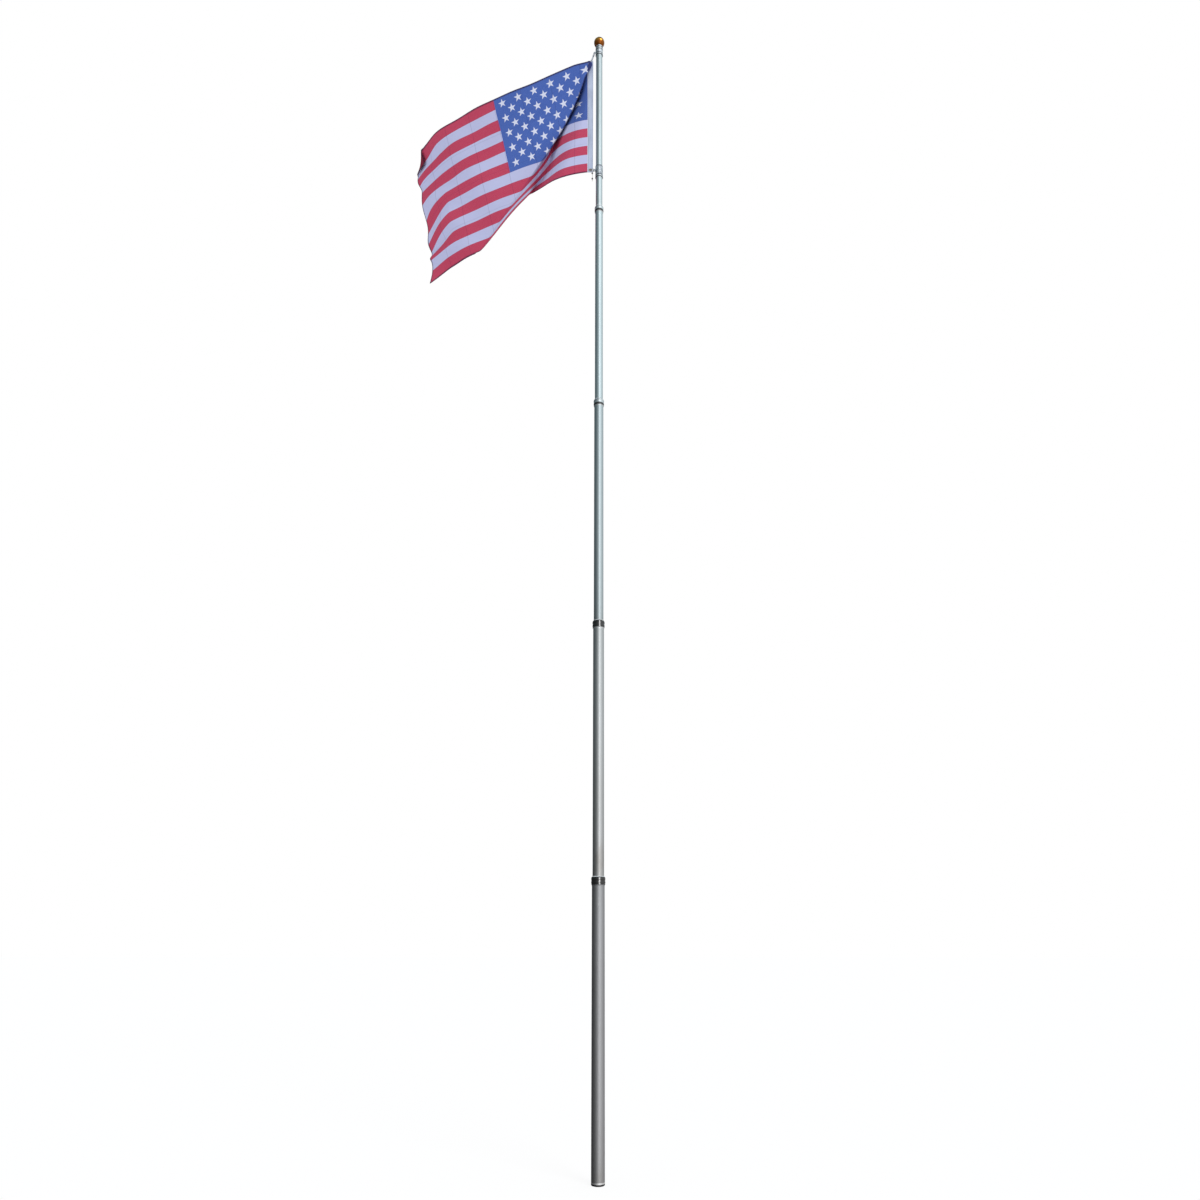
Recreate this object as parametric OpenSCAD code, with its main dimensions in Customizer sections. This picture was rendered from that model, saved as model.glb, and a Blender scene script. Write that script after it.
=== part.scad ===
// Telescoping flagpole: five aluminium tubes that slide into each other, with black collars,
// pale guide bushings, a gold ball on top and a three by five foot flag on two swivel rings.
// Millimetres, +Z up. The origin is the centre of the foot's flat underside.

/* [Tubes] */
// Outside diameter of the lowest tube
base_od = 66; // [60:1:76]
// How much smaller each tube is than the one below it
od_step = 6; // [5.6:0.2:8]
// Wall of every tube
tube_wall = 1.6; // [1.2:0.1:1.9]
// Height of the lowest tube's upper end
base_rise = 1420; // [1400:2:1700]
// Rise from one tube's upper end to the next when extended
section_rise = 1387; // [1370:1:1600]
// Rise from the last collar's tube end to the upper end of the top tube
top_rise = 1300; // [1270:1:1600]
// Length of each tube that stays inside the one below
tube_overlap = 90; // [60:5:150]
// Radius of the rolled bead that carries each collar
bead_r = 2.4; // [1.8:0.2:3.2]

/* [Collars] */
// Height of a collar below its tube's end
collar_skirt = 32; // [24:1:40]
// Thickness of a collar over its tube's end
collar_cap = 6; // [4:0.5:9]
// Wall of a collar
collar_wall = 3; // [2.4:0.2:5]
// Radius of each of the two grip beads round a collar
grip_r = 7; // [5:0.5:9]
// How far the grip beads stand out from a collar
grip_proud = 1.2; // [0.6:0.2:1.8]
// Length of a bushing below its tube's end
bushing_length = 45; // [25:1:55]
// Height of a bushing's lip over its collar
bushing_lip = 3.5; // [2:0.5:6]
// How far a bushing's lip stands out over the inner tube
lip_width = 3; // [2:0.2:4]

/* [Foot] */
// Thickness of the foot below the lowest tube
foot_flange = 8; // [5:1:14]
// Length of the foot's plug inside the lowest tube
foot_plug = 40; // [25:1:60]
// Bevel round the foot's lower edge
foot_bevel = 2; // [1:0.5:4]

/* [Finial] */
// Diameter of the ball
ball_d = 70; // [54:1:90]
// Diameter of the flat seat under the ball
ball_seat_d = 26; // [20:1:36]
// Thickness of the ferrule's flange on the top tube
ferrule_flange = 7; // [4:1:12]
// How far the ferrule's flange stands out from the top tube
ferrule_proud = 3; // [1:0.5:6]
// Height of the ferrule's neck
ferrule_neck = 8; // [4:1:16]
// Length of the ferrule's plug inside the top tube
ferrule_plug = 45; // [25:1:70]

/* [Flag rings] */
// Distance of the upper stop ring below the top tube's end
ring_drop = 10; // [6:1:20]
// Height of a stop ring
stop_h = 13; // [8:1:20]
// Wall of a stop ring
stop_wall = 3.6; // [2.4:0.2:6]
// Height of the upper swivel ring
upper_ring_h = 30; // [22:1:40]
// Height of the lower swivel ring
lower_ring_h = 74; // [40:1:90]
// Wall of a swivel ring
ring_wall = 2.6; // [2:0.2:5]
// Thickness of the eye tab on a swivel ring
tab_t = 5; // [3:0.5:7]
// Diameter of the hole in an eye tab
eye_d = 8; // [7:0.5:10]
// Width of metal round the hole in an eye tab
eye_rim = 3; // [2.5:0.5:4]

/* [Clips] */
// Wire diameter of the clips
wire_d = 4.4; // [3:0.2:5]
// Width of the clips between wire centres
clip_w = 12; // [11:0.5:14]
// Diameter of the upper clip's swivel barrel
barrel_d = 11; // [8:0.5:14]
// Length of the upper clip's swivel barrel
barrel_h = 20; // [10:1:26]
// Outside diameter of the gate sleeve
gate_d = 7; // [6:0.5:8]
// Thickness of the tie cord
tie_d = 3; // [2:0.5:4]

/* [Flag] */
// Length of the flag along the pole
hoist = 914; // [800:2:1000]
// Length of the flag away from the pole, with its heading
fly = 1524; // [1400:2:1700]
// Distance of the flag's upper edge below the top tube's end
flag_drop = 107; // [100:1:150]
// Gap between the top tube and the flag's heading
hoist_gap = 19; // [19:1:26]
// Width of the heading
heading_w = 35; // [28:1:45]
// Thickness of the heading
heading_t = 2.4; // [1.6:0.2:4]
// Thickness of the cloth's solid
cloth_t = 2; // [1.5:0.5:4]
// Outside diameter of a grommet
grommet_d = 20; // [17:0.5:24]
// Thickness of a grommet's rim on each side of the heading
grommet_rim = 1.2; // [0.8:0.1:1.6]
// Bore of a grommet
grommet_bore = 10; // [8:0.5:12]
// Distance of a grommet's centre from the heading's end
grommet_inset = 17; // [14:1:24]

/* [Hidden] */
$fn = 96;

// Clearances: a glued or pressed seat, a sliding fit and a free running ring.
seat_fit = 0.15;
slide_fit = 0.4;
ring_fit = 0.6;
face_gap = 0.5;
// A cut goes this far past the face it opens.
past = 1;

// Tubes, counted from 1 at the ground.
sections = 5;
function tube_od(k) = base_od - (k - 1) * od_step;
function tube_id(k) = tube_od(k) - 2 * tube_wall;
function tube_top(k) = base_rise + (k - 1) * section_rise - (k == sections ? section_rise - top_rise : 0);
function tube_foot(k) = k == 1 ? foot_flange : tube_top(k - 1) - tube_overlap;
pole_top = tube_top(sections);
top_r = tube_od(sections) / 2;

// Flag rings and clips, along the pole.
upper_stop_z = pole_top - ring_drop - stop_h;
upper_ring_z = upper_stop_z - face_gap - upper_ring_h;
middle_stop_z = upper_ring_z - face_gap - stop_h;
flag_top = pole_top - flag_drop;
flag_foot = flag_top - hoist;
lower_eye_z = flag_foot + grommet_inset;
lower_ring_z = lower_eye_z - lower_ring_h * 2 / 3;
lower_stop_z = lower_ring_z - face_gap - stop_h;
ring_r = top_r + ring_fit + ring_wall;
eye_x = -(ring_r + eye_rim + eye_d / 2);
eye_z = upper_ring_z + upper_ring_h / 2;
grommet_t = heading_t + 4 * seat_fit + 2 * grommet_rim;
heading_x = -(top_r + hoist_gap);
grommet_x = heading_x - heading_w / 2;
seam_x = heading_x - heading_w;

module tube_shell(k) {
    top = tube_top(k);
    color("#aeb4ba")
    difference() {
        union() {
            translate([0, 0, tube_foot(k)])
                cylinder(d = tube_od(k), h = top - tube_foot(k));
            if (k < sections)
                translate([0, 0, top - collar_skirt - bead_r])
                    rotate_extrude()
                        translate([tube_od(k) / 2, 0])
                            circle(r = bead_r, $fn = 48);
        }
        translate([0, 0, tube_foot(k) - past])
            cylinder(d = tube_id(k), h = top - tube_foot(k) + 2 * past);
    }
}

// A collar caps its tube's end, and the next tube comes up through it.
module collar(k) {
    height = collar_skirt + collar_cap;
    outer = tube_od(k) / 2 + collar_wall;
    color("#141516")
    translate([0, 0, tube_top(k) - collar_skirt])
        difference() {
            union() {
                cylinder(r = outer, h = height - collar_wall);
                translate([0, 0, height - collar_wall])
                    cylinder(r1 = outer, r2 = outer - collar_wall * 2 / 3, h = collar_wall);
                for (share = [0.26, 0.72])
                    translate([0, 0, height * share])
                        rotate_extrude()
                            translate([outer + grip_proud - grip_r, 0])
                                intersection() {
                                    circle(r = grip_r, $fn = 64);
                                    translate([0, -grip_r])
                                        square([grip_r, 2 * grip_r]);
                                }
            }
            translate([0, 0, -past])
                cylinder(d = tube_od(k) + 2 * seat_fit, h = collar_skirt + past);
            cylinder(d = tube_id(k), h = height + past);
        }
}

// A bushing lines the upper end of its tube and shows as a pale lip on the collar.
module bushing(k) {
    bore = tube_od(k + 1) + 2 * slide_fit;
    top = tube_top(k);
    color("#d9dcdd")
    difference() {
        union() {
            translate([0, 0, top - bushing_length])
                cylinder(d = tube_id(k) - 2 * seat_fit, h = bushing_length + collar_cap + bushing_lip);
            translate([0, 0, top + collar_cap])
                cylinder(r1 = bore / 2 + lip_width, r2 = bore / 2 + lip_width - bushing_lip / 2, h = bushing_lip);
        }
        translate([0, 0, top - bushing_length - past])
            cylinder(d = bore, h = bushing_length + collar_cap + bushing_lip + 2 * past);
    }
}

module foot() {
    color("#1b1c1d")
    union() {
        cylinder(r1 = base_od / 2 - foot_bevel, r2 = base_od / 2, h = foot_bevel);
        translate([0, 0, foot_bevel])
            cylinder(d = base_od, h = foot_flange - foot_bevel);
        cylinder(d = tube_id(1) - 2 * seat_fit, h = foot_flange + foot_plug);
    }
}

module finial_ferrule() {
    color("#c4c9cc")
    translate([0, 0, pole_top]) {
        translate([0, 0, -ferrule_plug])
            cylinder(d = tube_id(sections) - 2 * seat_fit, h = ferrule_plug + ferrule_flange);
        cylinder(r = top_r + ferrule_proud, h = ferrule_flange);
        cylinder(d = ball_seat_d, h = ferrule_flange + ferrule_neck);
    }
}

module finial_ball() {
    seat_sink = ball_d / 2 - sqrt(pow(ball_d / 2, 2) - pow(ball_seat_d / 2, 2));
    color("#c08a1e")
    translate([0, 0, pole_top + ferrule_flange + ferrule_neck])
        difference() {
            translate([0, 0, ball_d / 2 - seat_sink])
                sphere(d = ball_d);
            translate([-ball_d / 2, -ball_d / 2, -ball_d])
                cube(ball_d);
        }
}

// Stop rings are clamped on the top tube, one above the upper swivel ring and one under each.
module stop_ring(z) {
    edge = stop_h / 6;
    outer = top_r + stop_wall;
    color("#9ba1a7")
    translate([0, 0, z])
        difference() {
            union() {
                cylinder(r1 = outer - edge, r2 = outer, h = edge);
                translate([0, 0, edge])
                    cylinder(r = outer, h = stop_h - 2 * edge);
                translate([0, 0, stop_h - edge])
                    cylinder(r1 = outer, r2 = outer - edge, h = edge);
            }
            translate([0, 0, -past])
                cylinder(r = top_r + seat_fit, h = stop_h + 2 * past);
        }
}

// A swivel ring turns freely on the top tube and carries an eye tab on the flag's side.
module swivel_ring(z, height, tab_z) {
    color("#b9bec2")
    difference() {
        union() {
            translate([0, 0, z])
                cylinder(r = ring_r, h = height);
            translate([eye_x, tab_t / 2, tab_z])
                rotate([90, 0, 0])
                    cylinder(d = eye_d + 2 * eye_rim, h = tab_t);
            translate([eye_x, -tab_t / 2, tab_z - eye_d / 2 - eye_rim])
                cube([-eye_x - top_r - ring_fit, tab_t, eye_d + 2 * eye_rim]);
        }
        translate([0, 0, z - past])
            cylinder(r = top_r + ring_fit, h = height + 2 * past);
        translate([eye_x, tab_t / 2 + past, tab_z])
            rotate([90, 0, 0])
                cylinder(d = eye_d, h = tab_t + 2 * past);
    }
}

// A closed ring of round wire in the local XY plane: it passes Y-wise through the origin and
// through a point that lies "reach" along X.
module wire_ring(reach) {
    translate([reach / 2, 0, 0])
        rotate_extrude()
            translate([reach / 2, 0])
                circle(d = wire_d, $fn = 32);
}

// A flat bar with round ends, from "start" to "end" along X.
module round_bar(start, end, width, thick) {
    translate([0, 0, -thick / 2]) {
        for (x = [start + width / 2, end - width / 2])
            translate([x, 0, 0])
                cylinder(d = width, h = thick);
        translate([start + width / 2, -width / 2, 0])
            cube([end - start - width, width, thick]);
    }
}

// The cast loop of the snap hook: the middle of its metal runs from the origin to "reach".
module hook_loop(reach) {
    difference() {
        round_bar(-wire_d / 2, reach + wire_d / 2, clip_w + wire_d, wire_d);
        round_bar(wire_d / 2, reach - wire_d / 2, clip_w - wire_d, wire_d + 2 * past);
    }
}

// The gate sleeve on one side of the snap hook.
module gate_sleeve(start, length) {
    translate([start, clip_w / 2, 0])
        rotate([0, 90, 0])
            cylinder(d = gate_d, h = length, $fn = 32);
}

// How far a clip's metal lies off the centre of a hole that it pulls on, where a bend of this
// radius and a flat of this half width still clear the edges of a plate this thick.
function hang(hole_d, plate_t, bend, half_flat) =
    sqrt(pow(hole_d / 2, 2) - pow(half_flat, 2)) - wire_d / 2 - slide_fit
        - bend + sqrt(pow(bend, 2) - pow(plate_t / 2, 2));

// Snap hook with a swivel barrel, hung from the upper eye and hooked in the upper grommet.
module upper_clip() {
    hook_z = flag_top - grommet_inset + hang(grommet_bore, grommet_t, clip_w / 2, wire_d / 2);
    top_z = eye_z - hang(eye_d, tab_t, clip_w / 2, 0);
    run = [grommet_x - eye_x, 0, hook_z - top_z];
    span = norm(run);
    hook_reach = span - clip_w - barrel_h + wire_d;
    color("#cfd3d6")
    translate([eye_x, 0, top_z])
        rotate([0, atan2(-run[2], run[0]), 0]) {
            wire_ring(clip_w);
            translate([clip_w - wire_d / 2, 0, 0])
                rotate([0, 90, 0])
                    cylinder(d = barrel_d, h = barrel_h);
            translate([span - hook_reach, 0, 0]) {
                hook_loop(hook_reach);
                gate_sleeve(clip_w, hook_reach - 2 * clip_w);
            }
        }
}

// Plain wire ring between the lower eye and the lower grommet.
lower_bend = (eye_x - grommet_x) / 2;
lower_link_x = eye_x - hang(eye_d, tab_t, lower_bend, 0);
lower_link_reach = lower_link_x - grommet_x - hang(grommet_bore, grommet_t, lower_bend, 0);
module lower_clip() {
    color("#cfd3d6")
    translate([lower_link_x - lower_link_reach, 0, lower_eye_z])
        wire_ring(lower_link_reach);
}

module grommet(z) {
    lip = heading_t / 2 + 2 * seat_fit;
    rim = grommet_t / 2 - lip;
    color("#b08d45")
    translate([grommet_x, 0, z])
        rotate([90, 0, 0])
            difference() {
                union() {
                    for (side = [-1, 1])
                        translate([0, 0, side * (lip + rim / 2) - rim / 2])
                            cylinder(d = grommet_d, h = rim);
                    translate([0, 0, -lip])
                        cylinder(d = grommet_bore + 2, h = 2 * lip);
                }
                translate([0, 0, -lip - rim - past])
                    cylinder(d = grommet_bore, h = 2 * (lip + rim + past));
            }
}

module flag_heading() {
    color("#c9d0dc")
    difference() {
        translate([seam_x, -heading_t / 2, flag_foot])
            cube([heading_w, heading_t, hoist]);
        for (z = [flag_foot + grommet_inset, flag_top - grommet_inset])
            translate([grommet_x, heading_t / 2 + past, z])
                rotate([90, 0, 0])
                    cylinder(d = grommet_bore + 2 + 4 * seat_fit, h = heading_t + 2 * past);
    }
}

// The cloth hangs from its upper hoist corner as a cone of straight lines that fan out from
// there. The fan starts down the heading and runs on by degrees, each stretch with its own
// turn out of the sheet: the hoist side swings back, a sharp pleat brings the cloth forward
// again, and the rest is the front of the flag.
fan = [[44, 62], [3.6, -149], [2.4, 77], [40, 0]];
fan_turn = -7;
pleat_end = fan[0][0] + fan[1][0] + fan[2][0];
field_w = fly - heading_w;
// The pleat gathers at the grommet, so the front's corner lies this far from the seam's.
corner_shift = [12, -14, -45];
// The front bends away round slanting lines: a length out from the corner and its turn.
bends = [[300, 0], [600, 20], [900, 47]];
bend_slant = 14;
// The cloth thins towards the corner that its lines fan out from.
corner_r = 30;
corner_thinning = 0.02;
ray_steps = 16;

function turned(v, axis, angle) =
    v * cos(angle) + cross(axis, v) * sin(angle) + axis * (axis * v) * (1 - cos(angle));
function moved(frame, arc, turn) =
    let (spin = frame[2] * arc + frame[0] * turn, size = norm(spin))
    size == 0 ? frame : [for (v = frame) turned(v, spin / size, size)];
function fan_frame(angle, frame, i = 0) =
    angle <= fan[i][0] || i == len(fan) - 1
        ? moved(frame, angle, fan[i][1] * angle / fan[i][0])
        : fan_frame(angle - fan[i][0], moved(frame, fan[i][0], fan[i][1]), i + 1);
hung = let (down = [0, 0, -1], out = [-cos(fan_turn), -sin(fan_turn), 0]) [down, out, cross(down, out)];
front = fan_frame(90, hung);
bend_out = front[0] * cos(bend_slant) + front[1] * sin(bend_slant);

// Place along and across a line that bends in turn, with the angle reached: [x, y, angle].
function bent(left, i = 0, at = [0, 0, 0]) =
    let (last = i == len(bends) - 1,
         run = last ? left : min(left, bends[i][0]),
         rate = bends[i][1] / bends[i][0],
         angle = at[2] + rate * run,
         step = rate == 0 ? run * [cos(angle), sin(angle)]
                          : 180 / PI / rate * [sin(angle) - sin(at[2]), cos(at[2]) - cos(angle)],
         next = [at[0] + step[0], at[1] + step[1], angle])
    last || left <= bends[i][0] ? next : bent(left - run, i + 1, next);

function cloth_point(angle, r, side) =
    let (frame = fan_frame(angle, hung),
         pleated = min(1, max(0, (angle - fan[0][0]) / (pleat_end - fan[0][0]))),
         out = r * sin(angle - bend_slant),
         bend = bent(out),
         thick = min(cloth_t, r * corner_thinning) / 2 * side)
    [seam_x - 2 * face_gap, 0, flag_top]
        + corner_shift * pleated
        + frame[0] * r
        + bend_out * (bend[0] - out)
        + front[2] * bend[1]
        + (frame[2] * cos(bend[2]) - bend_out * sin(bend[2])) * thick;
function ray_length(angle) =
    min(angle < 90 ? hoist / cos(angle) : field_w, angle > 0 ? field_w / sin(angle) : hoist);

corner_angle = atan(field_w / hoist);
fan_angles = concat([for (a = [0:4:fan[0][0] - 1]) a],
                    [for (a = [fan[0][0]:0.6:pleat_end]) a],
                    [for (a = [pleat_end + 1:2.5:corner_angle - 1]) a],
                    [corner_angle],
                    [for (a = [corner_angle + 2.5:3:89]) a], [90]);

module flag_field() {
    rays = len(fan_angles);
    ring = ray_steps + 1;
    points = [for (side = [-1, 1], a = fan_angles, s = [0:ray_steps])
        cloth_point(a, corner_r + (ray_length(a) - corner_r) * s / ray_steps, side)];
    back = rays * ring;
    skins = [for (i = [0:rays - 2], s = [0:ray_steps - 1])
        let (p = i * ring + s) each [[p, p + ring, p + ring + 1, p + 1],
                                     [back + p, back + p + 1, back + p + ring + 1, back + p + ring]]];
    rims = [for (s = [0:ray_steps - 1])
        let (q = (rays - 1) * ring + s) each [[s, s + 1, back + s + 1, back + s],
                                              [q, back + q, back + q + 1, q + 1]]];
    ends = [for (i = [0:rays - 2])
        let (p = i * ring, q = p + ray_steps) each [[p, back + p, back + p + ring, p + ring],
                                                    [q, q + ring, back + q + ring, back + q]]];
    color("#b23a50")
    polyhedron(points = points, faces = concat(skins, rims, ends));
}

// The cord's loose end hangs from the front wire of the lower clip.
tie_route = [[0, 0, 0], [0, 0, -20], [1, 0, -45], [0, 0, -70], [1, 0, -95]];
module tie_cord() {
    sides = 8;
    count = len(tie_route);
    origin = [lower_link_x - lower_link_reach / 2, -lower_link_reach / 2,
              lower_eye_z - wire_d / 2 - slide_fit];
    points = [for (p = tie_route, s = [0:sides - 1])
        origin + p + tie_d / 2 * [cos(s * 360 / sides), sin(s * 360 / sides), 0]];
    walls = [for (i = [0:count - 2], s = [0:sides - 1])
        let (t = (s + 1) % sides)
        [i * sides + s, i * sides + t, (i + 1) * sides + t, (i + 1) * sides + s]];
    color("#d8d4c8")
    polyhedron(points = points,
               faces = concat(walls, [[for (s = [sides - 1:-1:0]) s]],
                              [[for (s = [0:sides - 1]) (count - 1) * sides + s]]));
}

foot();
tube_shell(1);  // tube_1
collar(1);  // collar_1
bushing(1);  // bushing_1
tube_shell(2);  // tube_2
collar(2);  // collar_2
bushing(2);  // bushing_2
tube_shell(3);  // tube_3
collar(3);  // collar_3
bushing(3);  // bushing_3
tube_shell(4);  // tube_4
collar(4);  // collar_4
bushing(4);  // bushing_4
tube_shell(5);  // tube_5
finial_ferrule();
finial_ball();
stop_ring(upper_stop_z);  // upper_stop_ring
stop_ring(middle_stop_z);  // middle_stop_ring
stop_ring(lower_stop_z);  // lower_stop_ring
swivel_ring(upper_ring_z, upper_ring_h, eye_z);  // upper_swivel_ring
upper_clip();
grommet(flag_top - grommet_inset);  // upper_grommet
flag_heading();
flag_field();
grommet(lower_eye_z);  // lower_grommet
swivel_ring(lower_ring_z, lower_ring_h, lower_eye_z);  // lower_swivel_ring
lower_clip();
tie_cord();
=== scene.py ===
import math
import bpy
from mathutils import Matrix, Vector


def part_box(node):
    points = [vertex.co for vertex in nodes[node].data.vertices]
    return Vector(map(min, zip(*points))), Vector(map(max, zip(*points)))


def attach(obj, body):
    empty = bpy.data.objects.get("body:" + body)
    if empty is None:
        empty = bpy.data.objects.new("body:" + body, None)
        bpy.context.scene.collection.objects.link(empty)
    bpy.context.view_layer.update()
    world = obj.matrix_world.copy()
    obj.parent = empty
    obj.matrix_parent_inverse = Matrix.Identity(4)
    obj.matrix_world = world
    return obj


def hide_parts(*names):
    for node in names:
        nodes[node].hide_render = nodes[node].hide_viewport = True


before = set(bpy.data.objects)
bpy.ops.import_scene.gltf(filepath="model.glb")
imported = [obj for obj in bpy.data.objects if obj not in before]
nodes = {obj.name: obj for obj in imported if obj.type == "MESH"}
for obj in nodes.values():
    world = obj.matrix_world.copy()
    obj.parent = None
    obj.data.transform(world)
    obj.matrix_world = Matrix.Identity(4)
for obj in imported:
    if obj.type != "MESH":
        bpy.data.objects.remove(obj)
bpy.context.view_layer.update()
bpy.ops.object.select_all(action="DESELECT")

# The camera stands nearly five metres in front of the pole, a little over a metre above the
# ground, and looks up, so the pole narrows towards the ball and the cloth is seen from below.
camera_rise = 15.76
camera_roll = 0.04
camera_data = bpy.data.cameras.new("camera")
camera_data.sensor_width = 36
camera_data.lens = 27.9
camera_data.shift_y = 0.05
camera_data.clip_end = 200
camera = bpy.data.objects.new("camera", camera_data)
camera.location = (0.008, -4.923, 1.2)
raised = Matrix.Rotation(math.radians(90 + camera_rise), 3, "X")
rolled = Matrix.Rotation(math.radians(camera_roll), 3, "Z")
camera.rotation_euler = (raised @ rolled).to_euler()
bpy.context.collection.objects.link(camera)
bpy.context.scene.camera = camera


# Tie cord: the short loose end of a thin braided cord that hangs from the flag's lower link. The
# braid is an off-white synthetic yarn, gone grey, with two dark knots in it.
class Value:
    """A value that varies over a surface. Arithmetic on it adds the nodes that work it out."""

    def __init__(self, owner, socket):
        self.owner = owner
        self.socket = socket

    def out(self, name):
        return Value(self.owner, self.socket.node.outputs[name])

    def axis(self, name):
        return self.owner.node("ShaderNodeSeparateXYZ", {}, {0: self}).out(name)

    def math(self, operation, *others):
        sockets = dict(enumerate((self,) + others))
        return self.owner.node("ShaderNodeMath", {"operation": operation}, sockets)

    def __add__(self, other):
        return self.math("ADD", other)

    def __sub__(self, other):
        return self.math("SUBTRACT", other)

    def __rsub__(self, other):
        return self.owner.node("ShaderNodeMath", {"operation": "SUBTRACT"}, {0: other, 1: self})

    def __mul__(self, other):
        return self.math("MULTIPLY", other)

    def __truediv__(self, other):
        return self.math("DIVIDE", other)

    def __gt__(self, other):
        return self.math("GREATER_THAN", other)

    def __lt__(self, other):
        return self.math("LESS_THAN", other)

    __radd__ = __add__
    __rmul__ = __mul__

    def ramp(self, low, high, start=0.0, end=1.0):
        sockets = {"Value": self, "From Min": low, "From Max": high, "To Min": start, "To Max": end}
        return self.owner.node("ShaderNodeMapRange", {"interpolation_type": "SMOOTHSTEP"}, sockets)


class Nodes:
    """The nodes of one finish, or of the room."""

    def __init__(self, tree):
        self.tree = tree

    def node(self, kind, settings, sockets):
        made = self.tree.nodes.new(kind)
        for name, value in settings.items():
            setattr(made, name, value)
        for name, value in sockets.items():
            if isinstance(value, Value):
                self.tree.links.new(value.socket, made.inputs[name])
            else:
                made.inputs[name].default_value = value
        if made.outputs:
            return Value(self, made.outputs[0])


class Finish(Nodes):
    """A material built on one Principled shader."""

    def __init__(self, name, **constants):
        self.material = bpy.data.materials.new(name)
        self.material.use_nodes = True
        super().__init__(self.material.node_tree)
        self.shader = self.tree.nodes["Principled BSDF"]
        for socket, value in constants.items():
            self.shader.inputs[socket.replace("_", " ")].default_value = value
        self.place = self.node("ShaderNodeTexCoord", {}, {}).out("Object")

    def noise(self, scale, stretch=(1, 1, 1), detail=3.0):
        spot = self.node("ShaderNodeMapping", {}, {"Vector": self.place, "Scale": stretch})
        sockets = {"Vector": spot, "Scale": scale, "Detail": detail, "Roughness": 0.55}
        return self.node("ShaderNodeTexNoise", {}, sockets)

    def mix(self, share, first, second):
        sockets = {0: share, 6: first, 7: second}
        return self.node("ShaderNodeMix", {"data_type": "RGBA"}, sockets).out(2)

    def drive(self, socket, value):
        self.tree.links.new(value.socket, self.shader.inputs[socket])

    def bump(self, height, strength, distance):
        sockets = {"Height": height, "Strength": strength, "Distance": distance}
        self.drive("Normal", self.node("ShaderNodeBump", {}, sockets))


def dress(name, finish):
    nodes[name].data.materials.clear()
    nodes[name].data.materials.append(finish.material)


def add_piece(name, body, finish):
    piece = bpy.context.object
    piece.name = name
    bpy.ops.object.transform_apply(location=True, rotation=True, scale=True)
    piece.data.materials.clear()
    piece.data.materials.append(finish.material)
    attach(piece, body)
    return piece


cord_d = 0.003
cord_length = 0.095
cord_drop = [(0, 0, 0), (0, 0, -0.02), (0.001, 0, -0.045), (0, 0, -0.07), (0.001, 0, -cord_length)]
cord_steps = 24
cord_lo, cord_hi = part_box("tie_cord")
cord_exit = Vector((cord_lo.x + cord_d / 2, (cord_lo.y + cord_hi.y) / 2, cord_hi.z))
strand_pitch = 3600
strand_lean = 0.6
strand_shade = (0.3, 0.27, 0.25, 1)
strand_tone = (0.6, 0.57, 0.53, 1)
braid = Finish("braided_cord", Roughness=0.85, Sheen_Weight=0.3)
braid_z = braid.place.axis("Z")
braid_lean = braid.place.axis("X") * strand_lean
left_strands = ((braid_z + braid_lean) * strand_pitch).math("SINE")
right_strands = ((braid_z - braid_lean) * strand_pitch).math("SINE")
strands = left_strands * right_strands
braid.drive("Base Color", braid.mix(strands.ramp(-0.8, 0.8), strand_shade, strand_tone))
braid.bump(strands, 0.5, 0.0003)
cord_line = bpy.data.curves.new("tie_cord_braid", "CURVE")
cord_line.dimensions = "3D"
cord_line.bevel_depth = cord_d / 2
cord_line.bevel_resolution = 4
cord_line.use_fill_caps = True
cord_spline = cord_line.splines.new("POLY")
cord_spline.points.add(cord_steps)
for step in range(cord_steps + 1):
    part = step / cord_steps * (len(cord_drop) - 1)
    first = min(int(part), len(cord_drop) - 2)
    ease = (1 - math.cos(math.pi * (part - first))) / 2
    start = Vector(cord_drop[first])
    end = Vector(cord_drop[first + 1])
    spot = start.lerp(end, part - first)
    spot.x = start.x + (end.x - start.x) * ease
    cord_spline.points[step].co = (*(cord_exit + spot), 1)
cord = bpy.data.objects.new("tie_cord_braid", cord_line)
bpy.context.collection.objects.link(cord)
cord_line.materials.append(braid.material)
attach(cord, "flag_rig")
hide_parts("tie_cord")

knot_downs = (0.03, 0.072)
knot_tilts = (18, -22, 6)
knot_r = 0.0032
knot_yarn_r = 0.0018
knot_step = 0.0022
knot_pitch = 3000
knot_shade = (0.03, 0.025, 0.03, 1)
knot_tone = (0.12, 0.1, 0.1, 1)
knot_yarn = Finish("knot_yarn", Roughness=0.9)
knot_lay = knot_yarn.place.axis("Z") + knot_yarn.place.axis("X")
knot_strands = (knot_lay * knot_pitch).math("SINE")
knot_yarn.drive("Base Color", knot_yarn.mix(knot_strands.ramp(-1, 1), knot_shade, knot_tone))
knot_yarn.bump(knot_strands, 0.5, 0.0003)
for knot_down in knot_downs:
    for turn, tilt in enumerate(knot_tilts):
        bpy.ops.mesh.primitive_torus_add(
            major_radius=knot_r, minor_radius=knot_yarn_r, major_segments=28, minor_segments=12,
            location=cord_exit + Vector((0, 0, -knot_down - knot_step * turn)),
            rotation=(math.radians(tilt), math.radians(-tilt / 2), 0))
        bpy.ops.object.shade_smooth()
        add_piece("tie_knot", "flag_rig", knot_yarn)

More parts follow.
